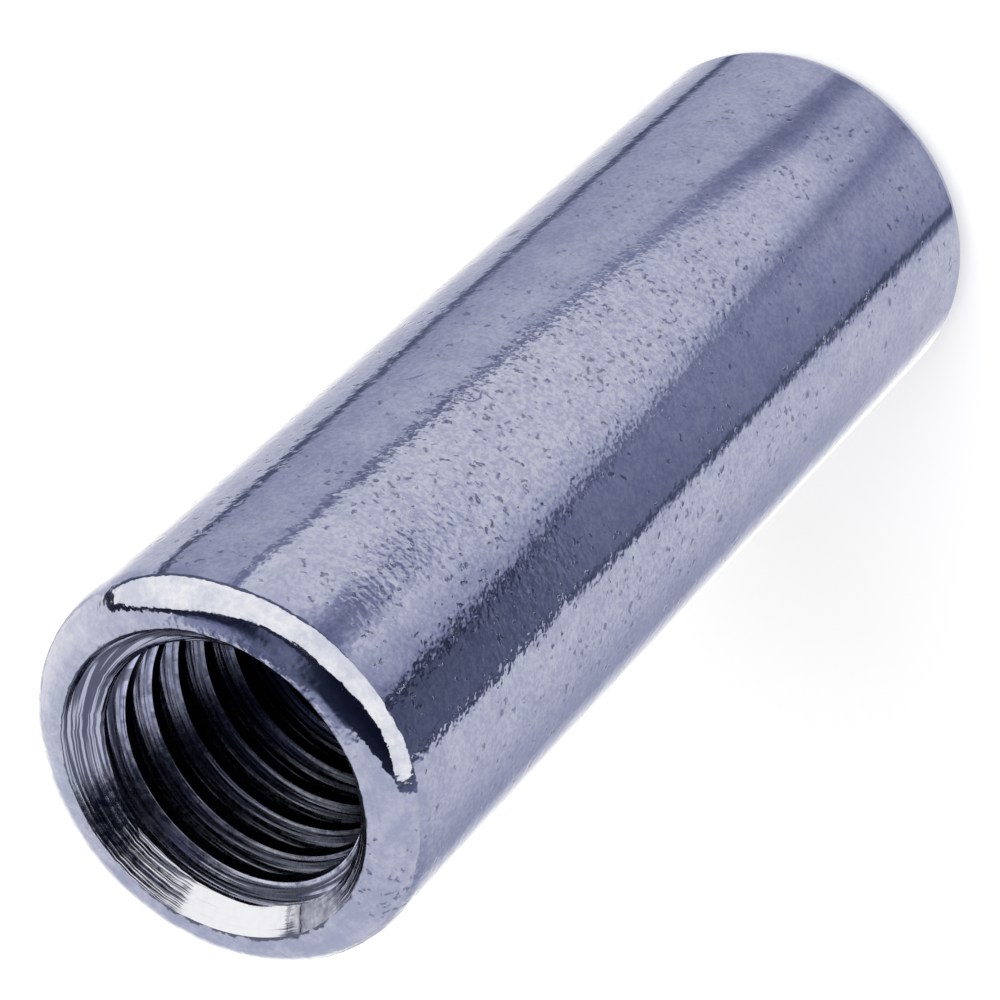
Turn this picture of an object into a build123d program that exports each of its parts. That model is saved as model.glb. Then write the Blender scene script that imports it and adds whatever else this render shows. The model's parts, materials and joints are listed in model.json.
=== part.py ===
from build123d import *
import math
import os

# Round coupling nut: a steel sleeve turned from bar, tapped right through with one metric
# thread so that a threaded rod screws in from each end. It stands on one end face, with +Z
# along the bore and the origin at the centre of the lower end face. All sizes in millimetres.

# Driving dimensions
NUT_LENGTH = 40.0  # end face to end face
THREAD_DIAMETER = 10.0  # nominal size of the thread, across its roots in the nut
THREAD_PITCH = 1.5  # advance of the thread in one turn
WALL_OUTSIDE_THREAD = 1.5  # metal left between the thread's root and the outside
COUNTERSINK_OVERSIZE = 0.2  # how much wider the countersink's mouth is than the thread
COUNTERSINK_ANGLE = 90.0  # included angle of the countersink, in degrees
END_LAND = 0.2  # width of the flat ring left on each end face, on which the nut stands

# A metric thread is a triangle with 60 degree flanks. The nut's crests are cut off at 5/8 of
# the sharp triangle's height inside the nominal size, and that is the tapping drill's bore.
FLANK_ANGLE = 60.0
CREST_DEPTH_SHARE = 5 / 8
sharp_height = THREAD_PITCH / (2 * math.tan(math.radians(FLANK_ANGLE / 2)))
bore_radius = THREAD_DIAMETER / 2 - CREST_DEPTH_SHARE * sharp_height

outer_radius = THREAD_DIAMETER / 2 + WALL_OUTSIDE_THREAD
mouth_radius = (THREAD_DIAMETER + COUNTERSINK_OVERSIZE) / 2
countersink_depth = (mouth_radius - bore_radius) / math.tan(math.radians(COUNTERSINK_ANGLE / 2))

# The rim is rounded over from the flat ring to the outside in one quarter circle.
rim_radius = outer_radius - mouth_radius - END_LAND


def turned_section() -> Sketch:
    """Draw the half section that the lathe leaves: bore, two countersinks, rounded rims."""
    with BuildSketch(Plane.XZ) as section:
        with BuildLine():
            Polyline(
                (bore_radius, countersink_depth),
                (mouth_radius, 0),
                (outer_radius, 0),
                (outer_radius, NUT_LENGTH),
                (mouth_radius, NUT_LENGTH),
                (bore_radius, NUT_LENGTH - countersink_depth),
                close=True,
            )
        make_face()
        outer_corners = section.vertices().sort_by(Axis.X)[-2:]
        fillet(outer_corners, radius=rim_radius)
    return section.sketch


def coupling_nut() -> Part:
    """Revolve the half section about the bore's axis."""
    with BuildPart() as nut:
        add(turned_section())
        revolve(axis=Axis.Z)
    nut.part.label = "coupling_nut"
    return nut.part


os.makedirs("parts", exist_ok=True)
export_step(coupling_nut(), "parts/coupling_nut.step")

print(f"outside {2 * outer_radius:.3f} x {NUT_LENGTH:.3f} mm, bore {2 * bore_radius:.3f} mm")
print(f"countersink {2 * mouth_radius:.3f} mm wide, {countersink_depth:.3f} mm deep")
print(f"rim radius {rim_radius:.3f} mm")
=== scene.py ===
"""Looks of a round coupling nut: a bright zinc plated steel sleeve, tapped right through.

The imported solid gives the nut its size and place. Here the sleeve is made once more as a single
fine mesh, with the right-hand metric thread that the solid leaves out, and is dressed in tumbled
zinc plate. It stands on a pale floor in a tent of soft light, whose panels and dark flags are
what the bright metal mirrors. All lengths are in metres unless a name says otherwise, and angles
round the nut are in degrees, with 0 on the +X side and 90 at the front.
"""
import json
import logging
import math
from dataclasses import dataclass, field
from enum import Enum, IntEnum
from functools import partialmethod, reduce

import bmesh
import bpy
import numpy as np
from mathutils import Matrix, Vector


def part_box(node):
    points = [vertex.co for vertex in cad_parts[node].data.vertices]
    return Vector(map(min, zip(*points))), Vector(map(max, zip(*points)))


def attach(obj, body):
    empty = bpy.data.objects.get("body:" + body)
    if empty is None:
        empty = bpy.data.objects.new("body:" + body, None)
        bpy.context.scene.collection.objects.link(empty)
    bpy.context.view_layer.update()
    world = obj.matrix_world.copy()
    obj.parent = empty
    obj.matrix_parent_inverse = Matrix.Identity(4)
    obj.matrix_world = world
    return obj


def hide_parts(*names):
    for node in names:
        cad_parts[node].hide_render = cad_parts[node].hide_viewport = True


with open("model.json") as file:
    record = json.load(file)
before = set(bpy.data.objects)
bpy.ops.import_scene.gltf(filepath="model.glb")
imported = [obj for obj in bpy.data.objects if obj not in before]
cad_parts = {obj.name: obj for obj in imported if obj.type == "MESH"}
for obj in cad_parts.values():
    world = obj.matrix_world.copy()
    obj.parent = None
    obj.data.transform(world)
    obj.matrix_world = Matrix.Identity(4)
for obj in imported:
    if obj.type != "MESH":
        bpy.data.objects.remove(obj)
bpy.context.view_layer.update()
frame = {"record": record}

NODE = "coupling_nut"
MM = 0.001

LOG = logging.getLogger("coupling_nut")
Pair = tuple[float, float]
Ease = tuple[float, float, float, float]
Triple = tuple[float, float, float]
Colour = Triple
Face = tuple[int, ...]
Row = tuple[float, ...]
Socket = bpy.types.NodeSocket

WHITE = (1.0, 1.0, 1.0)
UP = Vector((0.0, 0.0, 1.0))
RIM_DROP = 0.115


def soft_larger(first: np.ndarray, second: np.ndarray, rounding: float) -> np.ndarray:
    """Return the larger of two radii, with the corner where they cross rounded off."""
    gap = first - second
    return 0.5 * (first + second + np.sqrt(gap * gap + rounding * rounding))


def outward(angle: float) -> Vector:
    """Return the level direction away from the nut's axis at an angle round it."""
    turn = math.radians(angle)
    return Vector((math.cos(turn), -math.sin(turn), 0.0))


def put(name: str, data: bpy.types.ID) -> bpy.types.Object:
    """Put a new object in the scene.

    Args:
        name: the object's name.
        data: its mesh, lamp or lens.

    Returns:
        The object.
    """
    made = bpy.data.objects.new(name, data)
    bpy.context.scene.collection.objects.link(made)
    return made


class Surface(IntEnum):
    """The nut's surfaces, by the number of their finish."""

    OUTSIDE = 0
    BORE = 1


class ShaderSheet:
    """A node tree, with short calls for the nodes that the script uses."""

    def __init__(self, owner: bpy.types.Material | bpy.types.World) -> None:
        """Start on an empty node tree.

        Args:
            owner: the material or world whose tree it is.
        """
        owner.use_nodes = True
        self.tree = owner.node_tree
        self.tree.nodes.clear()

    def node(self, kind: str, inputs: dict[str | int, object], **settings: object) -> bpy.types.Node:
        """Add a node.

        Args:
            kind: the node's type, without the "ShaderNode" in front.
            inputs: a number, a colour or an output socket for each named or numbered input.
            settings: properties of the node itself.

        Returns:
            The new node.
        """
        made = self.tree.nodes.new("ShaderNode" + kind)
        for name, value in settings.items():
            setattr(made, name, value)
        for key, value in inputs.items():
            wanted = made.inputs[key]
            if isinstance(value, Socket):
                self.tree.links.new(value, wanted)
            else:
                wanted.default_value = (*value, 1.0) if wanted.type == "RGBA" else value
        return made

    def math(self, operation: str, *values: object) -> Socket:
        """Add a math node over one to three numbers or sockets and return its output."""
        return self.node("Math", dict(enumerate(values)), operation=operation).outputs[0]

    plus = partialmethod(math, "ADD")
    minus = partialmethod(math, "SUBTRACT")
    times = partialmethod(math, "MULTIPLY")
    over = partialmethod(math, "DIVIDE")
    larger = partialmethod(math, "MAXIMUM")
    linear = partialmethod(math, "MULTIPLY_ADD")
    size = partialmethod(math, "ABSOLUTE")

    def step(self, value: Socket, low: float, high: float, start: float = 0.0, end: float = 1.0) -> Socket:
        """Ease a value from start, where it is low, to end, where it is high."""
        inputs = {"Value": value, "From Min": low, "From Max": high, "To Min": start, "To Max": end}
        return self.node("MapRange", inputs, interpolation_type="SMOOTHSTEP").outputs["Result"]

    def fade(self, value: Socket, low: float, high: float) -> Socket:
        """Ease a value from 1, where it is low, to 0, where it is high."""
        return self.step(value, low, high, 1.0, 0.0)

    def vector(self, operation: str, first: Socket, second: object) -> Socket:
        """Add a vector math node over a vector and a vector or scale, and return its vector."""
        inputs = {0: first, "Scale" if operation == "SCALE" else 1: second}
        return self.node("VectorMath", inputs, operation=operation).outputs["Vector"]

    def length(self, vector: Socket) -> Socket:
        """Return a vector's length."""
        return self.node("VectorMath", {0: vector}, operation="LENGTH").outputs["Value"]

    def blend(self, share: Socket, first: object, second: object) -> Socket:
        """Mix two colours by a share and return the mixed colour."""
        return self.node("Mix", {0: share, 6: first, 7: second}, data_type="RGBA").outputs[2]

    def ramp(self, value: Socket, low: Colour, middle: Colour, high: Colour) -> Socket:
        """Lay three colours out along the values from 0 to 1.

        Args:
            value: where to read the colours.
            low: the colour at 0.
            middle: the colour at one half.
            high: the colour at 1.

        Returns:
            The colour at the value.
        """
        made = self.node("ValToRGB", {"Fac": value})
        stops = made.color_ramp.elements
        stops[0].color = (*low, 1.0)
        stops[1].color = (*high, 1.0)
        stops.new(0.5).color = (*middle, 1.0)
        return made.outputs["Color"]


class NutSheet(ShaderSheet):
    """The node tree of a finish on the nut. All its lengths are in millimetres.

    It knows the place on the nut, its axes, its distance across from the nut's own axis, and its
    distance from the middle of the nut's length.
    """

    def __init__(self, owner: bpy.types.Material, length: float) -> None:
        """Start on a material, and measure the place on the nut.

        Args:
            owner: the material.
            length: the nut's length.
        """
        super().__init__(owner)
        self.half = length / 2.0
        metres = self.node("TexCoord", {}).outputs["Object"]
        self.place = self.vector("SCALE", metres, 1.0 / MM)
        self.axes = self.node("SeparateXYZ", {0: self.place}).outputs
        squares = self.plus(self.times(self.axes["X"], self.axes["X"]),
                            self.times(self.axes["Y"], self.axes["Y"]))
        self.across = self.math("SQRT", squares)
        self.from_middle = self.size(self.minus(self.axes["Z"], self.half))

    def near_end(self, start: float, end: float, low: float = 0.0, high: float = 1.0) -> Socket:
        """Ease from one value to another between two depths below the nearer end face."""
        return self.step(self.from_middle, self.half - start, self.half - end, low, high)

    def noise(self, scale: float, detail: float = 1.0, rough: float = 0.5,
              at: Socket | None = None) -> Socket:
        """Add a noise field of so many cells a millimetre, at the place on the nut or at another."""
        inputs = {"Vector": at or self.place, "Scale": scale, "Detail": detail, "Roughness": rough}
        return self.node("TexNoise", inputs).outputs["Fac"]

    def lines(self, across: Socket, scale: float, detail: float) -> Socket:
        """Draw long lines side by side: 4-D noise, whose fourth coordinate runs across them."""
        inputs = {"Vector": self.place, "W": across, "Scale": scale, "Detail": detail}
        return self.node("TexNoise", inputs, noise_dimensions="4D").outputs["Fac"]

    def warped(self, scale: float, reach: float) -> Socket:
        """Shift the place by a coloured noise field, so that what is laid on it wanders.

        Args:
            scale: cells of the noise in a millimetre.
            reach: the furthest shift.

        Returns:
            The shifted place.
        """
        inputs = {"Vector": self.place, "Scale": scale, "Detail": 1.0}
        noise = self.node("TexNoise", inputs).outputs["Color"]
        centred = self.vector("SUBTRACT", noise, (0.5, 0.5, 0.5))
        return self.vector("ADD", self.place, self.vector("SCALE", centred, 2.0 * reach))

    def unrolled(self, place: Socket, radius: float) -> Socket:
        """Unroll the wall, and the faces at its ends.

        Args:
            place: a place on the nut.
            radius: the wall's radius.

        Returns:
            The distances round the wall and along it.
        """
        axes = self.node("SeparateXYZ", {0: place}).outputs
        round_it = self.times(self.math("ARCTAN2", axes["Y"], axes["X"]), radius)
        along = self.minus(axes["Z"], self.length(self.vector("MULTIPLY", place, (1.0, 1.0, 0.0))))
        return self.node("CombineXYZ", {0: round_it, 1: along}).outputs["Vector"]


@dataclass(frozen=True)
class Clouds:
    """A noise field whose clouds have soft edges.

    A cloud starts where the noise is low and is full where it is high; the result is thin outside
    the clouds and thick inside them.
    """

    scale: float
    low: float
    high: float
    detail: float = 1.0
    rough: float = 0.5
    thin: float = 0.0
    thick: float = 1.0

    def draw(self, sheet: NutSheet) -> Socket:
        """Draw the clouds and return their value."""
        noise = sheet.noise(self.scale, self.detail, self.rough)
        return sheet.step(noise, self.low, self.high, self.thin, self.thick)


@dataclass(frozen=True)
class Dashes:
    """Short dashes, each of its own length and turned its own way, in millimetres.

    The shortest is a share of the longest, and a share of each one's length has the full depth.
    """

    pitch: float
    half_length: float
    half_width: float
    depth: float
    shortest: float = 0.3
    full_share: float = 0.5

    def draw(self, sheet: NutSheet, flat: Socket, likely: Socket) -> Socket:
        """Scatter the dashes.

        Args:
            sheet: the finish's node tree.
            flat: the place on the unrolled wall.
            likely: share of the places that have a dash.

        Returns:
            The dashes' depth.
        """
        inputs = {"Vector": flat, "Scale": 1.0 / self.pitch}
        cells = sheet.node("TexVoronoi", inputs, voronoi_dimensions="2D").outputs
        luck = sheet.node("SeparateColor", {0: cells["Color"]}).outputs
        away = sheet.vector("SUBTRACT", flat, cells["Position"])
        spin = {"Vector": away, "Angle": sheet.times(luck[0], math.pi)}
        turned = sheet.node("VectorRotate", spin, rotation_type="Z_AXIS").outputs["Vector"]
        axes = sheet.node("SeparateXYZ", {0: turned}).outputs
        half_length = sheet.linear(
            luck[1], (1.0 - self.shortest) * self.half_length, self.shortest * self.half_length
        )
        along = sheet.over(sheet.size(axes["X"]), half_length)
        beside = sheet.over(sheet.size(axes["Y"]), self.half_width)
        inside = sheet.times(sheet.fade(along, self.full_share, 1.0), sheet.fade(beside, 0.0, 1.0))
        there = sheet.times(inside, sheet.math("LESS_THAN", luck[2], likely))
        return sheet.times(there, self.depth)


@dataclass(frozen=True)
class WornPatch:
    """An area of the nut that was rubbed or knocked more, or less, than the rest.

    Attributes:
        angle: its middle, as an angle round the nut.
        height: its middle up the nut, in millimetres.
        half_width: its reach to either side, in millimetres.
        half_height: its reach up and down, in millimetres.
        softness: share of the reach over which it fades out.
    """

    angle: float
    height: float
    half_width: float
    half_height: float
    softness: float = 0.5

    def mask(self, sheet: NutSheet, radius: float, at: Socket | None = None) -> Socket:
        """Draw the patch.

        Args:
            sheet: the finish's node tree.
            radius: the radius at which the patch lies, in millimetres.
            at: where to read it, if not at the place on the nut.

        Returns:
            1 inside the patch and 0 outside it.
        """
        turn = math.radians(self.angle)
        middle = (radius * math.cos(turn), -radius * math.sin(turn), self.height)
        away = sheet.vector("SUBTRACT", at or sheet.place, middle)
        scales = (1.0 / self.half_width, 1.0 / self.half_width, 1.0 / self.half_height)
        reach = sheet.length(sheet.vector("MULTIPLY", away, scales))
        return sheet.fade(reach, 1.0 - self.softness, 1.0)


@dataclass(frozen=True, kw_only=True)
class PlatedFinish:
    """What the nut's finishes share, in millimetres, with scales in cells a millimetre.

    A pair named "by" something is how much a value changes with it, and the value without it.
    """

    name: str
    length: float
    mouth_radius: float

    def surface(self, sheet: NutSheet) -> tuple[Socket, Socket, Socket]:
        """Return the surface's colour, roughness and height, which each finish draws its own way."""
        raise NotImplementedError

    def material(self) -> bpy.types.Material:
        """Build the finish.

        Returns:
            The material, to be put in a slot of the nut.
        """
        made = bpy.data.materials.new(self.name)
        sheet = NutSheet(made, self.length)
        colour, gloss, height = self.surface(sheet)
        relief = sheet.node("Bump", {"Height": height, "Strength": 1.0, "Distance": MM})
        shader = sheet.node("BsdfPrincipled", {
            "Base Color": colour, "Metallic": 1.0, "Roughness": gloss, "Normal": relief.outputs["Normal"],
        })
        sheet.node("OutputMaterial", {"Surface": shader.outputs["BSDF"]})
        return made


@dataclass(frozen=True, kw_only=True)
class TumbledZinc(PlatedFinish):
    """Bright zinc plate on the outside: blue passivated, and marked all over by tumbling."""

    radius: float
    name: str = "tumbled_zinc"
    plate: Colour = (0.434, 0.451, 0.578)
    light: Colour = (0.518, 0.529, 0.640)
    dull: Colour = (0.346, 0.366, 0.504)
    # Painted shade: the pit colour darkens nicks, dents and wrinkles, standing in for the shade in these
    # hollows.
    painted_pit_shade: Colour = (0.072, 0.080, 0.170)
    painted_pit_shade_share: float = 0.70
    mottle_by_knocks: Pair = (0.22, 0.52)
    mottle_by_end: Pair = (-0.55, 1.0)
    ring_light: float = 0.5
    end_light: float = -0.48
    end_reach: Pair = (1.5, 0.8)
    waves: tuple[Pair, ...] = ((0.30, 0.020), (1.00, 0.009), (2.40, 0.0062), (5.00, 0.0024))
    nick_warp: Pair = (5.0, 0.12)
    nicks_by_knocks: Pair = (0.48, 0.16)
    specks_by_knocks: float = 0.14
    specks_by_crowd: float = 0.22
    dent_warp: Pair = (3.4, 0.12)
    dent_depth: float = 0.012
    grain_scale: float = 4.2
    grain_by_knocks: Pair = (0.012, 0.004)
    wrinkle_warp: Pair = (1.6, 0.30)
    wrinkle_scales: Triple = (0.45, 0.45, 1.0)
    wrinkle_scale: float = 0.95
    wrinkle_width: float = 0.026
    wrinkle_depth: float = 0.012
    ripple_warp: Pair = (1.8, 0.16)
    ripple_scales: Triple = (0.30, 0.30, 1.0)
    ripple_scale: float = 2.3
    ripple_depth: float = 0.022
    ring_depth: float = 0.004
    ring_scale: float = 0.35
    rings_a_millimetre: float = 9.0
    # Painted reflection: lip_shade is a dark ragged line round the chipped mouth, standing in for the
    # mirrored dark tent roof.
    lip_shade: Colour = (0.040, 0.044, 0.080)
    lip_share: float = 0.8
    lip_scale: float = 3.0
    lip_by_tear: Pair = (-0.20, -0.27)
    lip_edge: Pair = (-0.17, -0.11)

    CROWDS = Clouds(0.75, 0.44, 0.60, 2.0)
    CLOUDS = Clouds(0.8, 0.30, 0.70, 3.0, 0.65)
    MOTTLE = Clouds(5.6, 0.41, 0.59, 3.0, 0.7)
    GLOSS = Clouds(1.1, 0.35, 0.70, 3.0, thin=0.04, thick=0.10)
    NICKS = Dashes(0.42, 0.23, 0.100, 0.0085)
    SPECKS = Dashes(0.29, 0.115, 0.085, 0.0060)
    KNOCKED = (
        WornPatch(81.0, 24.0, 3.4, 18.5),
        WornPatch(113.0, 34.0, 1.7, 7.0, 0.3),
        WornPatch(138.0, 24.0, 1.9, 16.0, 0.9),
    )
    RUBBED = WornPatch(83.0, 37.2, 1.1, 2.4, 0.5)
    # Where the painted dark line round the mouth reaches further out.
    TORN = WornPatch(-140.0, 40.0, 5.2, 2.0, 0.6)
    CHIPPED = WornPatch(156.0, 39.5, 3.0, 2.2, 0.5)
    WRINKLED = WornPatch(56.5, 26.6, 1.8, 0.9, 0.4)
    DENTS = (
        WornPatch(23.5, 15.6, 0.34, 0.40, 0.7),
        WornPatch(132.0, 13.3, 0.17, 0.24, 0.8),
        WornPatch(142.0, 7.2, 0.16, 0.20, 0.8),
        WornPatch(130.0, 6.7, 0.20, 0.22, 0.8),
        WornPatch(132.0, 34.3, 0.20, 0.26, 0.8),
        WornPatch(142.0, 19.9, 0.16, 0.24, 0.8),
    )

    def nicks(self, sheet: NutSheet, knocks: Socket) -> Socket:
        """Scatter nicks and smaller specks over the wall, most of them where it was knocked.

        Args:
            sheet: the finish's node tree.
            knocks: 1 where the nut was knocked most.

        Returns:
            The marks' depth.
        """
        flat = sheet.unrolled(sheet.warped(*self.nick_warp), self.radius)
        crowds = self.CROWDS.draw(sheet)
        nick_share = sheet.times(crowds, sheet.linear(knocks, *self.nicks_by_knocks))
        speck_share = sheet.linear(knocks, self.specks_by_knocks, sheet.times(crowds, self.specks_by_crowd))
        return sheet.larger(self.NICKS.draw(sheet, flat, nick_share),
                            self.SPECKS.draw(sheet, flat, speck_share))

    def dents(self, sheet: NutSheet) -> Socket:
        """Press the few single dents into the wall, and return 1 at the bottom of a dent."""
        ragged = sheet.warped(*self.dent_warp)
        return reduce(sheet.larger, [dent.mask(sheet, self.radius, ragged) for dent in self.DENTS])

    def wrinkles(self, sheet: NutSheet) -> Socket:
        """Draw the few long wrinkles: thin level lines of a wide noise field.

        Args:
            sheet: the finish's node tree.

        Returns:
            1 at the bottom of a wrinkle and 0 away from it.
        """
        wide = sheet.vector("MULTIPLY", sheet.warped(*self.wrinkle_warp), self.wrinkle_scales)
        level = sheet.minus(sheet.noise(self.wrinkle_scale, 0.0, at=wide), 0.5)
        line = sheet.fade(sheet.size(level), 0.0, self.wrinkle_width)
        return sheet.times(line, self.WRINKLED.mask(sheet, self.radius))

    def ripples(self, sheet: NutSheet) -> Socket:
        """Draw the rubbed ripples beside the upper rim, and return their height from 0 to 1."""
        wide = sheet.vector("MULTIPLY", sheet.warped(*self.ripple_warp), self.ripple_scales)
        return sheet.times(sheet.noise(self.ripple_scale, at=wide), self.RUBBED.mask(sheet, self.radius))

    def painted_lip_shade_mask(self, sheet: NutSheet) -> Socket:
        """Draw the painted dark reflection round the countersink's chipped mouth.

        Args:
            sheet: the finish's node tree.

        Returns:
            1 where the dark reflection is painted and 0 elsewhere.
        """
        from_mouth = sheet.minus(sheet.across, self.mouth_radius)
        reach = sheet.linear(self.TORN.mask(sheet, self.mouth_radius), *self.lip_by_tear)
        ragged = sheet.linear(sheet.noise(self.lip_scale, 2.0), reach, from_mouth)
        return sheet.fade(ragged, *self.lip_edge)

    def surface(self, sheet: NutSheet) -> tuple[Socket, Socket, Socket]:
        """Draw the surface.

        Args:
            sheet: the finish's node tree.

        Returns:
            Its colour, its roughness and its height.
        """
        near_end = sheet.near_end(*self.end_reach)
        chipped = self.CHIPPED.mask(sheet, self.radius)
        knocked = [patch.mask(sheet, self.radius) for patch in self.KNOCKED]
        knocks = reduce(sheet.larger, [chipped, *knocked])
        calm = sheet.minus(1.0, sheet.times(near_end, sheet.minus(1.0, chipped)))
        nicks = sheet.times(self.nicks(sheet, knocks), calm)
        dents = self.dents(sheet)
        wrinkles = self.wrinkles(sheet)
        ring = sheet.times(sheet.across, self.rings_a_millimetre / self.ring_scale)
        rings = sheet.times(sheet.lines(ring, self.ring_scale, 1.0), near_end)
        grain = sheet.times(sheet.noise(self.grain_scale), sheet.linear(knocks, *self.grain_by_knocks))
        height = reduce(sheet.plus, [
            *(sheet.times(sheet.noise(scale), depth) for scale, depth in self.waves),
            sheet.times(nicks, -1.0),
            sheet.times(dents, -self.dent_depth),
            sheet.times(wrinkles, -self.wrinkle_depth),
            sheet.times(self.ripples(sheet), self.ripple_depth),
            sheet.times(rings, self.ring_depth),
            grain,
        ])

        clouds = self.CLOUDS.draw(sheet)
        mottle = sheet.minus(self.MOTTLE.draw(sheet), clouds)
        share = sheet.times(sheet.linear(knocks, *self.mottle_by_knocks),
                            sheet.linear(near_end, *self.mottle_by_end))
        mixed = sheet.linear(mottle, share, clouds)
        tone = sheet.linear(rings, self.ring_light, sheet.linear(near_end, self.end_light, mixed))
        ground = sheet.ramp(tone, self.dull, self.plate, self.light)
        # Painted shade in the nicks, dents and wrinkles: their colour is darkened towards the pit colour.
        marks = sheet.times(nicks, self.painted_pit_shade_share / self.NICKS.depth)
        deep = sheet.times(sheet.larger(dents, wrinkles), self.painted_pit_shade_share)
        marked = sheet.blend(sheet.larger(marks, deep), ground, self.painted_pit_shade)
        # Painted reflection: the dark line round the mouth.
        colour = sheet.blend(sheet.times(self.painted_lip_shade_mask(sheet), self.lip_share), marked, self.lip_shade)
        return colour, self.GLOSS.draw(sheet), height


@dataclass(frozen=True, kw_only=True)
class CutBoreZinc(PlatedFinish):
    """Zinc plate inside the bore, over the lines that the tap and the countersinking tool left.

    On the thread the lines follow the thread, and on the countersinks they are rings. Shade is
    painted into the colour at the thread's roots and crests and in the lines, and highlights are
    painted on the flanks, along the crests' edges and on part of the countersink.
    """

    pitch: float
    thread_start: float
    crest_radius: float
    root_radius: float
    name: str = "cut_bore_zinc"
    thread_plate: Colour = (0.540, 0.570, 0.800)
    cone_plate: Colour = (0.445, 0.462, 0.595)
    # Painted highlight: a lighter colour laid over the cone where it mirrors the window.
    painted_highlight_plate: Colour = (0.550, 0.562, 0.672)
    painted_highlight_share: float = 0.5
    # Painted shade: shade at the thread's crests and roots, flank_shade on the flanks between the painted
    # highlights, cone_shade in the cone's ring lines.
    shade: Colour = (0.032, 0.035, 0.058)
    flank_shade: Colour = (0.064, 0.070, 0.113)
    cone_shade: Colour = (0.095, 0.103, 0.165)
    gloss: Pair = (0.12, 0.24)
    thread_roughening: float = 0.07
    comb_share: float = 0.85
    comb_edge: Pair = (0.47, 0.56)
    lines_a_pitch: float = 21.0
    line_scale: float = 0.22
    line_depth: float = 0.055
    line_detail: float = 1.5
    rings_a_millimetre: float = 17.0
    ring_scale: float = 0.30
    ring_depth: float = 0.023
    smoothed_share: float = 0.75
    smear: Ease = (2.6, 3.0, 0.15, 0.418)
    # Painted highlight: the cone's ring lines are lightened where it mirrors the window.
    painted_highlight_level: float = 0.16
    cone_edge: Pair = (0.44, 0.55)
    cone_clearance: Pair = (0.11, 0.17)
    # Painted shade: the cone is darker towards the +X side.
    painted_side_shade: Ease = (2.6, 4.2, 0.0, -0.045)
    crest_reach: float = 0.06
    crest_light: Pair = (0.08, 0.27)
    root_reach: Pair = (0.84, 0.98)
    tear_warp: Pair = (2.0, 0.2)
    tear_scale: float = 5.0
    tear_depth: float = 0.0025
    tear_edge: Pair = (0.35, 0.65)
    # Painted light on the thread, brighter towards the +X side and towards the ends.
    sideways: Ease = (1.2, 4.4, 0.36, 1.15)
    inward: Ease = (8.0, 1.6, 0.45, 1.0)
    outermost: Ease = (2.3, 1.3, 0.0, 0.9)

    # CHOPPED and DASHED break the thread's painted highlights into dashes.
    CHOPPED = Clouds(1.6, 0.36, 0.60, thin=0.45, thick=0.95)
    DASHED = Clouds(2.6, 0.40, 0.56, thin=0.35)
    # Where the cone's rings are smoothed, and where its highlight is painted.
    SMOOTHED_AND_HIGHLIT = WornPatch(-133.0, 39.5, 2.1, 2.4, 0.35)
    TORN = WornPatch(-172.0, 39.6, 1.55, 1.1, 0.35)

    def painted_bore_light(self, sheet: NutSheet) -> Socket:
        """Give the painted light on the thread: most on the +X side and next to the ends."""
        inward = sheet.times(sheet.step(sheet.axes["X"], *self.sideways), sheet.near_end(*self.inward))
        return sheet.larger(inward, sheet.near_end(*self.outermost))

    def surface(self, sheet: NutSheet) -> tuple[Socket, Socket, Socket]:
        """Draw the surface.

        Args:
            sheet: the finish's node tree.

        Returns:
            Its colour, its roughness and its height.
        """
        x, y, height = sheet.axes
        mouth_depth = sheet.minus(sheet.half, sheet.from_middle)
        past_cone = sheet.minus(sheet.across, sheet.minus(self.mouth_radius, mouth_depth))
        cone = sheet.fade(past_cone, *self.cone_clearance)
        off_cone = sheet.minus(1.0, cone)
        middle_radius = (self.mouth_radius + self.crest_radius) / 2.0
        smoothed_and_highlit = self.SMOOTHED_AND_HIGHLIT.mask(sheet, middle_radius)
        turn = sheet.over(sheet.math("ARCTAN2", y, x), math.tau)
        rise = sheet.over(sheet.minus(height, self.thread_start), self.pitch)
        line = sheet.times(sheet.math("FRACT", sheet.minus(rise, turn)), self.lines_a_pitch)
        tapped = sheet.lines(sheet.over(line, self.line_scale), self.line_scale, self.line_detail)
        ring = sheet.over(sheet.times(height, self.rings_a_millimetre), self.ring_scale)
        rings = sheet.lines(ring, self.ring_scale, self.line_detail)
        groove = sheet.over(sheet.minus(sheet.across, self.crest_radius),
                            self.root_radius - self.crest_radius)
        flank = sheet.times(sheet.step(groove, 0.0, self.crest_reach), sheet.fade(groove, *self.root_reach))
        tears = sheet.noise(self.tear_scale, 2.0, at=sheet.warped(*self.tear_warp))
        thread_height = sheet.times(sheet.times(tapped, self.line_depth), flank)
        smooth = sheet.larger(smoothed_and_highlit, self.TORN.mask(sheet, self.mouth_radius))
        ring_share = sheet.linear(smooth, -self.smoothed_share * self.ring_depth, self.ring_depth)
        relief = reduce(sheet.plus, [
            sheet.times(thread_height, off_cone),
            sheet.times(sheet.times(rings, ring_share), cone),
            sheet.times(tears, self.tear_depth),
        ])

        # Painted highlights: bright dashes along the crests' edges and bright tap lines on the flanks, on
        # top of the real tap relief.
        edge = sheet.times(sheet.fade(groove, *self.crest_light), self.DASHED.draw(sheet))
        combed = sheet.times(sheet.step(tapped, *self.comb_edge), self.CHOPPED.draw(sheet))
        lit = sheet.times(sheet.larger(sheet.times(combed, self.comb_share), edge), flank)
        # Painted shade at the thread's roots and crests, lighter on the flanks.
        deep = sheet.blend(flank, self.shade, self.flank_shade)
        # The thread's painted highlights are scaled by its painted light.
        thread_colour = sheet.blend(sheet.times(lit, self.painted_bore_light(sheet)), deep, self.thread_plate)

        smear_scale, smear_detail, *smear_levels = self.smear
        smeared = sheet.linear(sheet.noise(smear_scale, smear_detail), *smear_levels)
        torn = self.TORN.mask(sheet, middle_radius)
        worn_rings = sheet.linear(torn, sheet.minus(smeared, rings), rings)
        # Painted shade on the cone's +X side.
        rings_and_side_shade = sheet.plus(worn_rings, sheet.step(x, *self.painted_side_shade))
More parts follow.
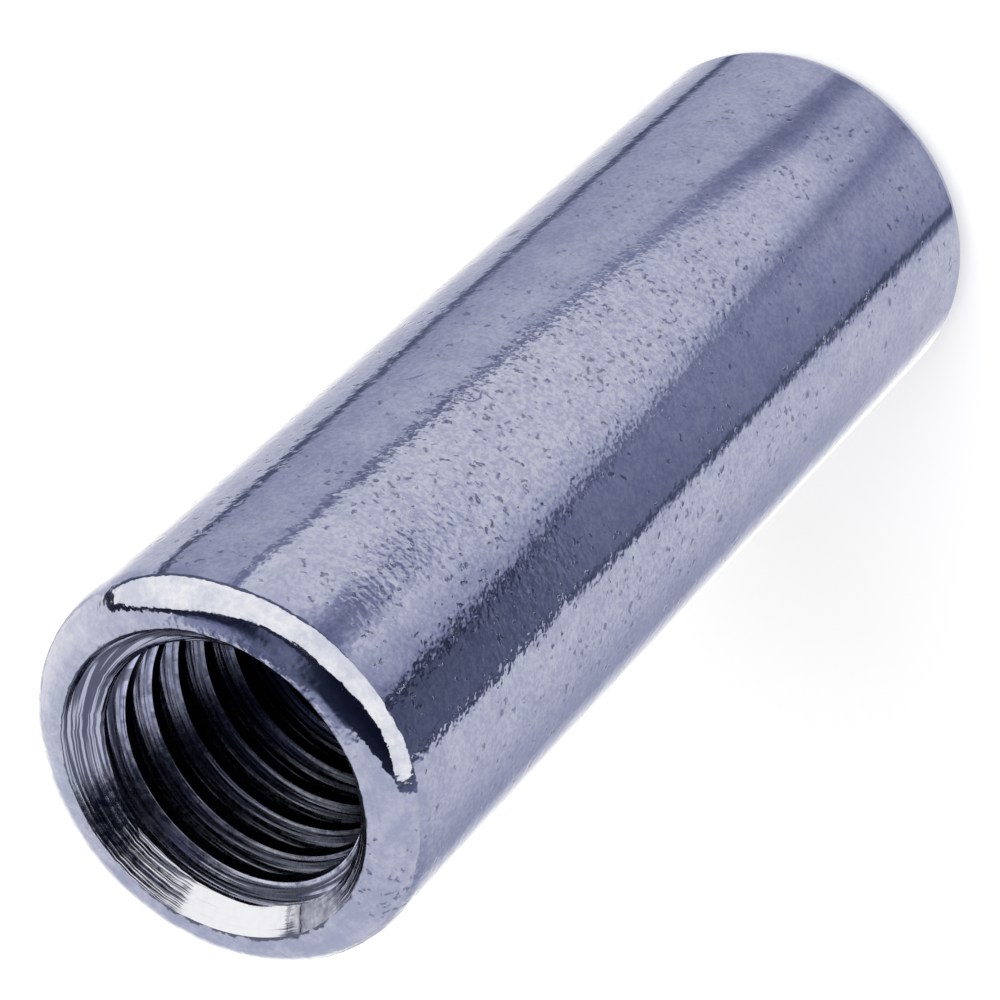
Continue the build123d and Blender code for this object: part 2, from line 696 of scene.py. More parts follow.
        # Painted reflection: the cone's ring lines are drawn dark and light in colour, on top of their real
        # relief.
        level = sheet.step(sheet.linear(smoothed_and_highlit, self.painted_highlight_level, rings_and_side_shade), *self.cone_edge)
        cone_colour = sheet.blend(level, self.cone_shade, self.cone_plate)
        # Painted highlight: the cone is lightened where it mirrors the window.
        rubbed = sheet.times(smoothed_and_highlit, self.painted_highlight_share)
        colour = sheet.blend(cone, thread_colour, sheet.blend(rubbed, cone_colour, self.painted_highlight_plate))
        rougher = sheet.times(off_cone, self.thread_roughening)
        return colour, sheet.plus(sheet.step(tears, *self.tear_edge, *self.gloss), rougher), relief


@dataclass(frozen=True)
class MetricThread:
    """The form of a metric thread in a nut.

    Attributes:
        crest_radius: radius of the bore before tapping, on which the crests stand.
        start: height at which the middle of a root crosses the +X side.
        corner: rounding of the crests' corners.
    """

    crest_radius: float
    pitch: float = 1.5 * MM
    start: float = 0.78 * MM
    corner: float = 0.03 * MM
    root_corner: float = 0.05 * MM

    HALF_ANGLE = math.radians(30.0)
    CUT_SHARE = 5 / 8
    ROOT_HALF_SHARE = 1 / 16

    @property
    def root_radius(self) -> float:
        """Radius at the roots: half the thread's nominal size."""
        sharp_height = self.pitch / (2.0 * math.tan(self.HALF_ANGLE))
        return self.crest_radius + self.CUT_SHARE * sharp_height

    def radius(self, turn: np.ndarray, height: np.ndarray) -> np.ndarray:
        """Give the radius that the tap cuts to, with no bore or countersink.

        Args:
            turn: angle about the bore, in turns.
            height: height up the nut.

        Returns:
            The radius of the groove or its flanks at each place.
        """
        phase = (height - self.start) / self.pitch - turn
        off_root = np.abs((phase + 0.5) % 1.0 - 0.5) * self.pitch
        past_root = off_root - self.ROOT_HALF_SHARE * self.pitch
        flank = self.root_radius - past_root / math.tan(self.HALF_ANGLE)
        return -soft_larger(-flank, np.full_like(flank, -self.root_radius), self.root_corner)


@dataclass
class ThreadedSleeve:
    """The nut itself: a round sleeve with rounded rims, two countersinks and a thread.

    Attributes:
        mouth_radius: radius of a countersink's mouth.
        rim_radius: rounding of the outer rims.
        countersink_slope: how much a countersink widens in a unit of height.
        columns: divisions round the nut.
        chip_edges: height of the summed waves at which a chip starts, and at which it is full.
        sharp_angle: the least angle between two faces at which the edge is shaded sharp.
    """

    outer_radius: float
    length: float
    thread: MetricThread
    mouth_radius: float = 5.1 * MM
    rim_radius: float = 1.2 * MM
    countersink_slope: float = math.tan(math.radians(45.0))
    columns: int = 160
    rows_a_pitch: int = 20
    rim_rows: int = 14
    wall_rows: int = 12
    chip_depth: float = 0.035 * MM
    chip_edges: Pair = (0.6, 2.4)
    sharp_angle: float = math.radians(38.0)
    seed: int = 7
    name: str = "threaded_sleeve"
    mesh: bpy.types.Mesh | None = field(default=None, init=False)

    CHIP_WAVES = (5, 9, 14, 23, 37, 52)

    def turns(self) -> np.ndarray:
        """Give the columns' angles, in turns."""
        return np.arange(self.columns) / self.columns

    def chips(self, count: int) -> np.ndarray:
        """Draw the small chips along the countersinks' edges.

        Args:
            count: how many edges to draw.

        Returns:
            One row of depths for each edge, one depth for each column.
        """
        random = np.random.default_rng(self.seed)
        start, full = self.chip_edges
        waves = np.zeros((count, self.columns))
        for order in self.CHIP_WAVES:
            lean = random.uniform(0.0, math.tau, (count, 1))
            waves += random.uniform(0.3, 1.0) * np.sin(math.tau * order * self.turns() + lean)
        share = np.clip((waves - start) / (full - start), 0.0, 1.0)
        return self.chip_depth * (share * share * (3.0 - 2.0 * share))

    def outer_profile(self) -> np.ndarray:
        """Trace the outside, from the lower mouth to the upper one.

        Returns:
            Radius and height of each ring.
        """
        turn = math.pi / 2 * np.arange(self.rim_rows + 1) / self.rim_rows
        radii = self.outer_radius - self.rim_radius + self.rim_radius * np.sin(turn)
        rim = np.stack([radii, self.rim_radius * (1.0 - np.cos(turn))], axis=-1)
        lower = np.concatenate([[(self.mouth_radius, 0.0)], rim])
        wall_length = self.length - 2.0 * self.rim_radius
        rises = self.rim_radius + wall_length * np.arange(1, self.wall_rows) / self.wall_rows
        wall = np.stack([np.full_like(rises, self.outer_radius), rises], axis=-1)
        return np.concatenate([lower, wall, lower[::-1] * (1.0, -1.0) + (0.0, self.length)])

    def bore_radius(self, turn: np.ndarray, height: np.ndarray, chips: np.ndarray) -> np.ndarray:
        """Give the radius of everything that is open: drilled bore, countersinks and thread.

        Args:
            turn: angle about the bore, in turns.
            height: height up the nut.
            chips: depth of the chips at each angle, for the lower and the upper mouth.

        Returns:
            The radius at each place.
        """
        lower = self.mouth_radius + chips[0] - height * self.countersink_slope
        upper = self.mouth_radius + chips[1] - (self.length - height) * self.countersink_slope
        crests = np.full_like(height, self.thread.crest_radius)
        cut = soft_larger(self.thread.radius(turn, height), crests, self.thread.corner)
        return soft_larger(cut, np.maximum(lower, upper), self.thread.corner)

    def build(self) -> bpy.types.Object:
        """Make the sleeve's mesh and object.

        Returns:
            The sleeve, in the row frame.
        """
        turn = self.turns()
        angle = math.tau * turn
        chips = self.chips(2)
        rings = self.outer_profile()
        radii = np.repeat(rings[:, :1], self.columns, axis=1)
        radii[0] += chips[0]
        radii[-1] += chips[1]
        heights = np.repeat(rings[:, 1:], self.columns, axis=1)

        row_step = self.thread.pitch / self.rows_a_pitch
        row_count = math.ceil(self.length / row_step) + 2 * self.rows_a_pitch + 1
        rows = np.arange(row_count)[:, None] * row_step - self.thread.pitch
        bore_height = rows + self.thread.pitch * turn[None, :]
        bore_radii = self.bore_radius(
            np.broadcast_to(turn, bore_height.shape), bore_height, chips[:, None, :]
        )
        all_radii = np.concatenate([radii, bore_radii])
        all_heights = np.concatenate([heights, np.clip(bore_height, 0.0, self.length)])
        points = np.stack([all_radii * np.cos(angle), all_radii * np.sin(angle), all_heights], axis=-1)

        grid = np.arange(points.shape[0] * self.columns).reshape(-1, self.columns)
        outer_grid, bore_grid = np.split(grid, [len(rings)])
        bore_grid = np.where(bore_height <= 0.0, outer_grid[0], bore_grid)
        bore_grid = np.where(bore_height >= self.length, outer_grid[-1], bore_grid)
        outside = self.ring_faces(outer_grid)
        inside = self.spiral_faces(bore_grid)
        self.mesh = bpy.data.meshes.new(self.name)
        self.mesh.from_pydata(points.reshape(-1, 3).tolist(), [], outside + inside)
        surfaces = [Surface.OUTSIDE] * len(outside) + [Surface.BORE] * len(inside)
        self.mesh.polygons.foreach_set("material_index", surfaces)
        self.mesh.validate()
        self.tidy_mesh()
        return put(self.name, self.mesh)

    def ring_faces(self, grid: np.ndarray) -> list[Face]:
        """Join whole rings, each to the next, with outward faces.

        Args:
            grid: the vertex at each ring and column.

        Returns:
            The faces.
        """
        after = np.roll(grid, -1, axis=1)
        quads = np.stack([grid[:-1], after[:-1], after[1:], grid[1:]], axis=-1)
        return [tuple(quad) for quad in quads.reshape(-1, 4).tolist()]

    def spiral_faces(self, grid: np.ndarray) -> list[Face]:
        """Join the bore's rows, which climb one pitch in a turn, with faces that look inward.

        Args:
            grid: the vertex at each row and column; past the ends it is one of the mouth's.

        Returns:
            The faces, without those that have shrunk to an edge or a point.
        """
        after = np.roll(grid, -1, axis=1)[: len(grid) - self.rows_a_pitch]
        after[:, -1] = grid[self.rows_a_pitch:, 0]
        here = grid[: len(after)]
        quads = np.stack([here[:-1], here[1:], after[1:], after[:-1]], axis=-1)
        faces = (tuple(dict.fromkeys(quad)) for quad in quads.reshape(-1, 4).tolist())
        return [face for face in faces if len(face) > 2]

    def tidy_mesh(self) -> None:
        """Drop loose points, and shade smoothly except across real edges."""
        shape = bmesh.new()
        shape.from_mesh(self.mesh)
        loose = [corner for corner in shape.verts if not corner.link_faces]
        bmesh.ops.delete(shape, geom=loose, context="VERTS")
        shape.to_mesh(self.mesh)
        shape.free()
        self.mesh.polygons.foreach_set("use_smooth", [True] * len(self.mesh.polygons))
        self.mesh.set_sharp_from_angle(angle=self.sharp_angle)

    def dress(self, outside: TumbledZinc, bore: CutBoreZinc) -> None:
        """Put on the finishes, in the order of the surfaces' numbers."""
        for finish in (outside, bore):
            self.mesh.materials.append(finish.material())


class Glow(Enum):
    """How much light a panel of the tent sends to the metal, as a colour with 1 for white."""

    PALE = (1.12, 1.12, 1.06)
    HAZE = (1.00, 1.00, 1.00)


def card_colour(level: float) -> Colour:
    """Give a card's colour at a brightness, with 1 for white; greyer is bluer, except near black."""
    return level, level ** 0.95, level ** 0.64 * (1.0 - 0.5 * max(1.0 - level, 0.0) ** 6)


def glowing_card() -> bpy.types.Material:
    """Build the material of all panels and flags once.

    Returns:
        The material, which glows in the colour of its "tone" attribute.
    """
    name = "glowing_card"
    found = bpy.data.materials.get(name)
    if found is not None:
        return found
    made = bpy.data.materials.new(name)
    sheet = ShaderSheet(made)
    tone = sheet.node("Attribute", {}, attribute_name="tone").outputs["Color"]
    glow = sheet.node("Emission", {"Color": tone, "Strength": 1.0})
    sheet.node("OutputMaterial", {"Surface": glow.outputs["Emission"]})
    return made


def stage_mesh(name: str, points: list[Triple], faces: list[Face], tones: list[Colour]) -> None:
    """Add a glowing sheet to the studio that only the metal's reflections see.

    Args:
        name: the sheet's name.
        points: its corners.
        faces: its faces, as numbers of corners.
        tones: how much light it sends at each corner.
    """
    mesh = bpy.data.meshes.new(name)
    mesh.from_pydata(points, [], faces)
    tone = mesh.attributes.new("tone", "FLOAT_COLOR", "POINT")
    tone.data.foreach_set("color", [part for colour in tones for part in (*colour, 1.0)])
    mesh.materials.append(glowing_card())
    sheet = put(name, mesh)
    for rays in ("camera", "diffuse", "transmission", "volume_scatter", "shadow"):
        setattr(sheet, "visible_" + rays, False)


@dataclass(frozen=True)
class MirroringNut:
    """The nut as a curved mirror, which tells where the studio shows in it to an eye."""

    eye: Vector
    radius: float
    length: float
    rim_radius: float

    def bounce(self, place: Vector, normal: Vector) -> Vector:
        """Give the direction in which the camera's line of sight leaves a place of the nut."""
        sight = (place - self.eye).normalized()
        return sight - 2.0 * sight.dot(normal) * normal

    def on_floor(self, drop: float, angle: float, lift: float) -> Vector:
        """Find what the camera sees on the floor at one place of the wall.

        Args:
            drop: distance of the place below the upper face, in outer radii.
            angle: its angle round the nut.
            lift: height of the mirrored flag above the floor.

        Returns:
            The point on the flag.
        """
        lean = max(1.0 - drop * self.radius / self.rim_radius, 0.0)
        normal = outward(angle) * math.sqrt(1.0 - lean * lean) + UP * lean
        place = outward(angle) * (self.radius - self.rim_radius) + normal * self.rim_radius
        place.z = self.length - drop * self.radius
        away = self.bounce(place, normal)
        return place + away * ((lift - place.z) / away.z)

    def in_tent(self, angle: float, slope: float, reach: float) -> Vector:
        """Find what the camera sees in the tent at one place of the upper rim.

        Args:
            angle: the place's angle round the nut.
            slope: slope of the rim there, in degrees: 0 on the end face and 90 on the wall.
            reach: distance of the tent from the middle of the upper face.

        Returns:
            The point on the tent.
        """
        tilt = math.radians(slope)
        normal = outward(angle) * math.sin(tilt) + UP * math.cos(tilt)
        face = UP * self.length
        from_face = outward(angle) * (self.radius - self.rim_radius) + normal * self.rim_radius
        from_face.z -= self.rim_radius
        away = self.bounce(face + from_face, normal)
        along = from_face.dot(away)
        beyond = math.sqrt(along * along - from_face.length_squared + reach ** 2) - along
        return face + from_face + away * beyond


@dataclass(frozen=True)
class StudioSheet:
    """A flag or panel that is given by lines across it.

    Each row has where the line lies, starts and ends, then its brightness from start to end, in
    percent and evenly spread. There are slices between two lines, and strips along each.
    """

    name: str
    rows: tuple[Row, ...]
    distance: float = 0.05 * MM
    slices: int = 8
    strips: int = 12

    def point(self, nut: MirroringNut, line: float, along: float) -> Vector:
        """Give the point at a place along a line, which each kind of sheet finds its own way."""
        raise NotImplementedError

    def colour(self, level: float) -> Colour:
        """Give the sheet's colour at a brightness."""
        return card_colour(level)

    def build(self, nut: MirroringNut) -> None:
        """Set the sheet up.

        Args:
            nut: the nut that mirrors it.
        """
        marks = np.arange((len(self.rows) - 1) * self.slices + 1) / self.slices
        numbers = np.arange(len(self.rows))
        shares = np.linspace(0.0, 1.0, self.strips + 1)
        lines, starts, ends = (
            np.interp(marks, numbers, [row[column] for row in self.rows]) for column in range(3)
        )
        spread = []
        for row in self.rows:
            levels = np.array(row[3:]) / 100
            spread.append(np.interp(shares, np.linspace(0.0, 1.0, len(levels)), levels))
        grid = np.stack([np.interp(marks, numbers, column) for column in zip(*spread)], axis=1)
        points = [
            tuple(self.point(nut, line, start + (end - start) * share))
            for line, start, end in zip(lines, starts, ends)
            for share in shares
        ]
        across = self.strips + 1
        faces = [
            (first + step, first + step + 1, first + step + 1 + across, first + step + across)
            for first in range(0, (len(marks) - 1) * across, across)
            for step in range(self.strips)
        ]
        stage_mesh(self.name, points, faces, [self.colour(float(level)) for level in grid.reshape(-1)])


class FloorFlag(StudioSheet):
    """A flag on the floor: its lines are drops below the upper face, in outer radii.

    They run from one angle to another. Its distance is its height, so that flags can overlap.
    """

    def point(self, nut: MirroringNut, line: float, along: float) -> Vector:
        """Give the point that the wall mirrors at a drop and an angle."""
        return nut.on_floor(line, along, self.distance)


@dataclass(frozen=True)
class RimPanel(StudioSheet):
    """A panel of the light tent: its lines are angles, and run from one slope of the rim to another."""

    slices: int = 6
    strips: int = 10

    def point(self, nut: MirroringNut, line: float, along: float) -> Vector:
        """Give the point that the rim mirrors at an angle and a slope."""
        return nut.in_tent(line, along, self.distance)


@dataclass(frozen=True)
class TentPanel(StudioSheet):
    """A curved panel of the tent: its lines are angles, and run from one elevation to another."""

    distance: float = 0.130
    strips: int = 8
    glow: Glow = Glow.HAZE

    def point(self, nut: MirroringNut, line: float, along: float) -> Vector:
        """Give the point at an angle and an elevation."""
        out = outward(line) * math.cos(math.radians(along)) + UP * math.sin(math.radians(along))
        return UP * nut.length + out * self.distance

    def colour(self, level: float) -> Colour:
        """Give the panel's colour at a brightness."""
        return tuple(part * level for part in self.glow.value)


def from_rim(*rows: Row) -> tuple[Row, ...]:
    """Carry a flag on past its first line, unchanged, to where it shows at the rim's top."""
    return (RIM_DROP, *rows[0][1:]), *rows


def evenly_lit(levels: Row, *rows: Row) -> tuple[Row, ...]:
    """Give all lines of a panel the same levels."""
    return tuple((*row, *levels) for row in rows)


FLAGS = (
    FloorFlag("wing_left", (
        (0.115, -36, 21, 230, 230, 230, 200, 160, 132, 81),
        (0.19, -14, 21, 230, 230, 230, 200, 160, 132, 81),
        (1.5, -14, 21, 230, 230, 230, 200, 160, 130, 81),
        (6.1, -14, 21, 230, 230, 230, 190, 145, 112, 74),
    ), 0.04 * MM),
    FloorFlag("flag_left", from_rim(
        (0.19, 21, 33.5, 81, 76, 86), (1, 21, 33.5, 81, 76, 82), (3, 21, 32.5, 78, 68, 60),
        (6.1, 21, 31.5, 75, 66, 50),
    )),
    FloorFlag("flag_middle", from_rim(
        (0.19, 34, 56.5, 50, 58, 62, 62), (0.4, 34.5, 57, 50, 58, 64, 63), (1, 34.5, 58, 47, 58, 63, 64),
        (2, 34, 60.1, 46, 58, 74, 72), (3, 33.3, 62.8, 44, 60, 74, 62), (4, 33, 66.5, 44, 60, 72, 60),
        (5, 32.4, 72, 48, 64, 70, 52), (6.1, 31.8, 75, 48, 66, 72, 56),
    )),
    FloorFlag("flag_penumbra", from_rim(
        (0.19, 89, 103.8, 95, 86, 68, 58, 30), (1.5, 90, 103.6, 95, 86, 74, 58, 30),
        (2.2, 90, 102.4, 95, 88, 78, 62, 34), (3, 90, 100, 95, 88, 76, 42), (4, 87, 97, 90, 86, 66, 38),
        (5, 85, 95, 84, 76, 56, 34), (6.1, 82, 93.5, 66, 56, 44, 40),
    )),
    FloorFlag("flag_right", from_rim(
        (0.19, 103.5, 121.8, 20, 13, 15, 16, 17), (1.2, 103.4, 121.8, 20, 15, 16, 17, 18),
        (1.6, 103.2, 121.9, 24, 21, 20, 20, 22), (2, 102.2, 122, 30, 28, 27, 25, 24),
        (3, 99.7, 122.2, 33, 33, 32, 29, 25), (4, 96.6, 122.4, 34, 41, 37, 34, 28),
        (5, 94.6, 122.6, 34, 55, 50, 38, 28), (6.1, 93.2, 122.8, 42, 60, 58, 50, 36),
    )),
    FloorFlag("flag_side", from_rim(
        (0.19, 122, 157, 90, 92, 87, 72, 55, 45), (3, 122.4, 157, 88, 90, 86, 72, 55, 46),
        (4.2, 122.6, 157, 82, 88, 84, 72, 60, 51), (6.1, 122.8, 157, 76, 89, 90, 83, 74, 72),
    )),
    FloorFlag("wing_right", (
        (0.115, 157, 214, 46, 86, 140, 200, 230, 230, 230),
        (0.19, 157, 194, 46, 86, 140, 200, 230, 230, 230),
        (4.5, 157, 194, 50, 86, 130, 190, 230, 230, 230),
        (6.1, 157, 194, 70, 104, 150, 200, 230, 230, 230),
    ), 0.06 * MM),
    FloorFlag("far_shade", (
        (3, 64, 90, 95, 95, 95), (4, 67, 88, 84, 90, 88), (5, 71, 87, 74, 90, 84),
        (5.4, 74, 86, 60, 66, 62), (6.1, 75, 84, 58, 66, 62),
    ), 0.08 * MM),
    FloorFlag("rubbed_shade", from_rim(
        (0.19, 74, 91, 92, 46, 28, 36, 74), (0.25, 74, 91, 92, 46, 26, 34, 74),
        (0.6, 74, 91, 95, 78, 56, 62, 88), (1.05, 74, 91, 98, 88, 84, 86, 92),
        (1.4, 74, 91, 96, 96, 95, 94, 92),
    ), 0.08 * MM),
    FloorFlag("edge_left", from_rim(
        (0.19, 32.2, 35.8, 52, 20, 12, 16, 46), (0.6, 32.4, 36, 50, 18, 10, 14, 46),
        (2, 31.4, 35.4, 48, 18, 12, 20, 44), (3, 30.2, 35, 48, 20, 16, 26, 44),
        (4, 29.6, 34.6, 48, 20, 15, 25, 46), (5, 29.4, 34.2, 46, 15, 9, 24, 48),
        (6.1, 28.8, 34, 46, 15, 15, 28, 50),
    ), 0.12 * MM),
    FloorFlag("edge_middle", from_rim(
        (0.19, 54.8, 57.8, 60, 32, 30, 40, 84), (0.4, 55, 58, 60, 30, 28, 40, 84),
        (1, 55.8, 59.2, 58, 30, 26, 40, 84), (2, 57.4, 61.2, 58, 26, 20, 34, 84),
        (3, 60.2, 63.8, 60, 36, 32, 48, 88), (4, 62.4, 69.6, 60, 44, 42, 62, 88),
        (4.6, 63.6, 74, 56, 34, 36, 56, 84), (5.2, 64.8, 77, 54, 30, 28, 42, 66),
        (6.1, 65.6, 77, 54, 34, 34, 46, 62),
    ), 0.12 * MM),
    FloorFlag("edge_band", from_rim(
        (0.19, 103.8, 107.2, 28, 8, 4, 6, 14), (0.8, 103.8, 107.2, 28, 8, 4, 6, 14),
        (1.5, 102.6, 106, 34, 12, 8, 12, 20), (2.2, 100.8, 104, 45, 22, 18, 22, 28),
        (3, 98.6, 101.2, 50, 30, 27, 30, 33),
    ), 0.12 * MM),
    FloorFlag("edge_right", from_rim(
        (0.19, 120.8, 123.6, 16, 10, 8, 26, 76), (2, 120.8, 123.8, 22, 11, 9, 26, 76),
        (3, 121, 124.2, 24, 12, 10, 30, 78), (4, 121, 124.6, 27, 12, 11, 32, 78),
        (5, 121, 125.2, 27, 10, 10, 34, 80), (6.1, 121, 125.8, 34, 16, 17, 42, 80),
    ), 0.12 * MM),
)
RIM_PANELS = (
    RimPanel("window", evenly_lit((174,),
        (19.6, 42, 55), (21, 36, 60), (23.5, 30, 62.5), (28, 25, 65.5), (33, 22.6, 67.3), (40, 21.4, 68),
        (46, 22, 67.6), (51, 24, 67.8), (56, 28, 68.6), (60, 31.5, 69.3), (65, 35.5, 71), (70, 39, 72.4),
        (75, 41.5, 73.8), (85, 44.5, 75.6), (95, 46.8, 77.2), (105, 51.5, 78.6), (111, 53, 79.2),
        (117, 50.4, 77.6), (121, 47.2, 75.6), (124, 46, 73), (125.9, 55, 67),
    ), 0.108),
    RimPanel("window_frame", (
        (15.2, 40, 50, 20, 12, 16), (17, 33.5, 57, 8, 4, 6),
        *evenly_lit((3, 1, 1, 20),
            (19, 29, 63.5), (21.5, 25, 67.5), (26, 20.5, 71), (31, 17, 72.5), (36, 14.6, 73),
            (40, 13.4, 73), (46, 13.8, 72.4), (50, 16, 72.6), (55, 19, 73), (60, 25, 73.8),
            (66, 31.5, 75.6), (72, 35.5, 77.4), (80, 36, 79), (85, 33, 79.8), (89, 27, 80.4),
            (92, 20, 80.6), (97, 16.8, 81.2), (105, 19.5, 82), (111, 24, 82.4), (116, 30.5, 81.6),
            (121, 36.5, 80),
        ),
        (125, 42, 77, 12, 4, 5, 16), (129.4, 50, 72, 36, 22, 30),
    ), 0.112),
    RimPanel("roof", (
        (40, 3, 15, 85, 75, 60), (45, 1, 15, 62, 55, 30, 3), (50, 0.5, 22, 60, 50, 44, 2, 2),
        (55, 0.5, 28, 50, 44, 40, 2, 2, 2), (58, 0.3, 30, 42, 55, 36, 2, 2, 2),
        (61, 0.2, 31, 30, 40, 30, 3, 2, 3), (64, 0, 34, 24, 42, 16, 5, 2, 6),
        (67, 0, 36, 18, 24, 10, 3, 5, 10), (70, 0, 38, 15, 19, 16, 6, 14, 10),
        (73, 0, 40, 20, 27, 20, 15, 20, 12), (76, 0, 41, 22, 24, 16, 22, 18, 8),
        (79, 0, 42, 20, 26, 22, 26, 22, 6), (82, 0, 42.5, 17, 16, 22, 18, 14, 4),
        (85, 0, 43, 11, 17, 10, 5, 6, 3), (88, 0, 41, 20, 10, 5, 8, 3, 3),
        (91, 0, 40, 55, 20, 3, 2, 5, 2), (95, 0, 36, 62, 44, 3, 1, 2, 1),
        (99, 0, 34, 50, 50, 4, 1, 1, 1), (102, 0, 32, 62, 42, 5, 1, 1), (105, 0.5, 30, 58, 52, 8, 1, 1),
        (109, 3, 28, 90, 80, 20, 2),
    ), 0.116),
    RimPanel("pale_side", (
        (-70, 1, 12, 105, 115), (-50, 1, 16, 110, 125), (-30, 0, 30, 115, 130, 140),
        (-10, 0, 52, 115, 135, 145), (5, 0, 62, 115, 140, 145), (14, 0, 60, 115, 135, 130),
        (19, 0, 28, 110, 120), (30, 0, 15, 105, 110), (40, 0, 10, 100, 100),
    ), 0.126),
    RimPanel("backdrop", evenly_lit((115, 170, 230, 240, 240, 240, 240, 240, 240),
        (-182, 58, 90), (-165, 42, 90), (-150, 30, 76), (-135, 23, 62), (-120, 17, 57), (-90, 13.5, 53),
        (-60, 12, 57), (-45, 16, 63), (-30, 33, 76), (-15, 50, 90), (0, 64, 90), (13, 61, 90),
    ), 0.122),
)
TENT_PANELS = (
    TentPanel("pale_left", ((-88, -8, 56, 100), (-32, -8, 56, 100)), glow=Glow.PALE),
    TentPanel("haze_right", ((152, -12, 56, 100), (268, -12, 48, 100)), glow=Glow.HAZE),
)


@dataclass
class Studio:
    """The pale floor, the white surround, the tent's panels and the flags on the floor."""

    nut: MirroringNut
    floor_size: float = 3.0
    floor_sunk: float = 0.02 * MM
    floor_colour: Colour = (0.80, 0.80, 0.80)
    floor_glow: float = 0.31
    floor_glow_to_eye: float = 0.48
    surround: float = 0.55
    lamp_size: float = 0.30
    lamp_power: float = 0.9
    lamp_angle: float = 50.0
    lamp_out: float = 0.25
    lamp_height: float = 0.45
    card_level: float = 2.4
    card_lift: float = 0.02 * MM
    card_half_width: float = 6.5
    card_reach: Pair = (0.75, 3.1)

    def build(self) -> None:
        """Set up everything round the nut."""
        self.lay_floor()
        self.lay_far_card()
        self.light_surround()
        self.hang_lamp()
        for sheet in (*FLAGS, *RIM_PANELS, *TENT_PANELS):
            sheet.build(self.nut)

    def lay_floor(self) -> None:
        """Lay the pale floor: it glows a little, keeps a soft shadow and has no underside."""
        half = self.floor_size / 2.0
        sunk = -self.floor_sunk
        mesh = bpy.data.meshes.new("floor")
        corners = [(-half, -half, sunk), (half, -half, sunk), (half, half, sunk), (-half, half, sunk)]
        mesh.from_pydata(corners, [], [(0, 1, 2, 3)])
        material = bpy.data.materials.new("pale_floor")
        sheet = ShaderSheet(material)
        matt = sheet.node("BsdfDiffuse", {"Color": self.floor_colour})
        rays = sheet.node("LightPath", {}).outputs
        mirrored = sheet.larger(rays["Is Glossy Ray"], rays["Is Transmission Ray"])
        strength = sheet.linear(rays["Is Camera Ray"], self.floor_glow_to_eye,
                                sheet.times(mirrored, self.floor_glow))
        glow = sheet.node("Emission", {"Color": WHITE, "Strength": strength})
        both = sheet.node("AddShader", {0: matt.outputs["BSDF"], 1: glow.outputs["Emission"]})
        under = sheet.node("NewGeometry", {}).outputs["Backfacing"]
        clear = sheet.node("BsdfTransparent", {}).outputs["BSDF"]
        one_sided = sheet.node("MixShader", {0: under, 1: both.outputs["Shader"], 2: clear})
        sheet.node("OutputMaterial", {"Surface": one_sided.outputs["Shader"]})
        mesh.materials.append(material)
        floor = put("floor", mesh)

    def lay_far_card(self) -> None:
        """Lay a white card on the floor behind the nut, for its far outline to mirror."""
        half = self.card_half_width * self.nut.radius
        near, far = (share * self.nut.length for share in self.card_reach)
        lift = self.card_lift
        corners = [(-half, near, lift), (half, near, lift), (half, far, lift), (-half, far, lift)]
        stage_mesh("far_card", corners, [(0, 1, 2, 3)], [card_colour(self.card_level)] * 4)

    def light_surround(self) -> None:
        """Fill the space round the floor with plain white light."""
        world = bpy.data.worlds.new("surround")
        bpy.context.scene.world = world
        sheet = ShaderSheet(world)
        rays = sheet.node("LightPath", {}).outputs
        seen = sheet.larger(rays["Is Camera Ray"], rays["Is Glossy Ray"])
        seen = sheet.larger(seen, rays["Is Transmission Ray"])
        strength = sheet.plus(sheet.times(seen, 1.0 - self.surround), self.surround)
        light = sheet.node("Background", {"Color": WHITE, "Strength": strength})
        sheet.node("OutputWorld", {"Surface": light.outputs["Background"]})

    def hang_lamp(self) -> None:
        """Hang one large soft lamp over the front left, for the floor's shadow."""
        lamp = bpy.data.lights.new("soft_lamp", "AREA")
        lamp.shape = "DISK"
        lamp.size = self.lamp_size
        lamp.energy = self.lamp_power
        hung = put("soft_lamp", lamp)
        hung.location = outward(self.lamp_angle) * self.lamp_out + UP * self.lamp_height
        hung.rotation_euler = hung.location.to_track_quat("Z", "Y").to_euler()
        hung.visible_glossy = False


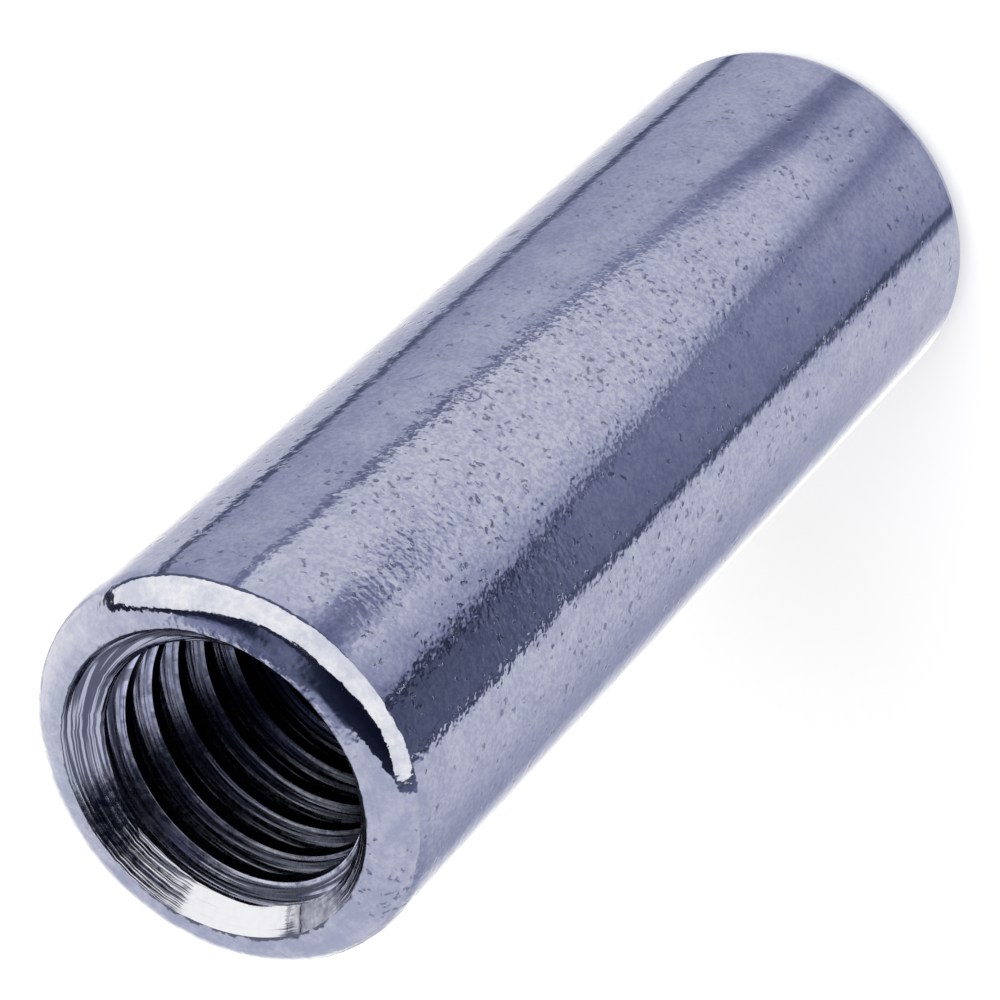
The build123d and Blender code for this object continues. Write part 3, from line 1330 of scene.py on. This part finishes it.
@dataclass(frozen=True)
class LongLensCamera:
    """A camera with a long lens, looking down on the nut and rolled on its side.

    Attributes:
        aim: height of the point that is looked at.
        side_step: how far that point lies to the nut's +X side.
        elevation: how far the camera looks down, in degrees.
        roll: turn of the camera about its line of sight, in degrees.
    """

    aim: float = 22.18 * MM
    side_step: float = 0.116 * MM
    distance: float = 152.29 * MM
    elevation: float = 49.213
    roll: float = -134.133
    lens_mm: float = 174.06
    sensor_mm: float = 36.0

    def build(self) -> Vector:
        """Set up the camera and make it the scene's own.

        Returns:
            The camera's place.
        """
        tilt = math.radians(self.elevation)
        ahead = Vector((0.0, math.cos(tilt), -math.sin(tilt)))
        level_up = Vector((0.0, math.sin(tilt), math.cos(tilt)))
        level_right = Vector((1.0, 0.0, 0.0))
        turn = math.radians(self.roll)
        right = level_right * math.cos(turn) + level_up * math.sin(turn)
        up = level_up * math.cos(turn) - level_right * math.sin(turn)
        lens = bpy.data.cameras.new("camera")
        lens.lens = self.lens_mm
        lens.sensor_width = self.sensor_mm
        lens.clip_start = 0.01
        lens.clip_end = 10.0
        camera = put("camera", lens)
        turned = Matrix((right, up, -ahead)).transposed().to_4x4()
        place = Vector((self.side_step, 0.0, self.aim)) - ahead * self.distance
        camera.matrix_world = Matrix.Translation(place) @ turned
        bpy.context.scene.camera = camera
        return place


def main() -> None:
    """Build the camera, the nut and the studio, in that order."""
    logging.basicConfig(level=logging.INFO, format="%(name)s: %(message)s")
    bpy.context.scene.view_settings.view_transform = "Standard"
    low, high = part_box(NODE)
    outer_radius = (high.x - low.x) / 2.0
    length = high.z - low.z
    threaded_hole = next(m for m in frame["record"]["mounts"] if m["kind"] == "threaded_hole")

    eye = LongLensCamera().build()
    thread = MetricThread(crest_radius=threaded_hole["dims"]["r_mm"] * MM)
    sleeve = ThreadedSleeve(outer_radius=outer_radius, length=length, thread=thread)
    piece = sleeve.build()
    ends = {"length": length / MM, "mouth_radius": sleeve.mouth_radius / MM}
    sleeve.dress(
        TumbledZinc(radius=outer_radius / MM, **ends),
        CutBoreZinc(
            pitch=thread.pitch / MM, thread_start=thread.start / MM,
            crest_radius=thread.crest_radius / MM, root_radius=thread.root_radius / MM, **ends,
        ),
    )
    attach(piece, "root")
    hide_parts(NODE)
    LOG.info("%s: %d faces, thread root radius %.3f mm", piece.name, len(sleeve.mesh.polygons),
             thread.root_radius / MM)

    mirror = MirroringNut(eye=eye, radius=outer_radius, length=length, rim_radius=sleeve.rim_radius)
    Studio(nut=mirror).build()
    LOG.info("studio: %d flags, %d panels", len(FLAGS), len(RIM_PANELS) + len(TENT_PANELS))


if __name__ == "__main__":
    main()
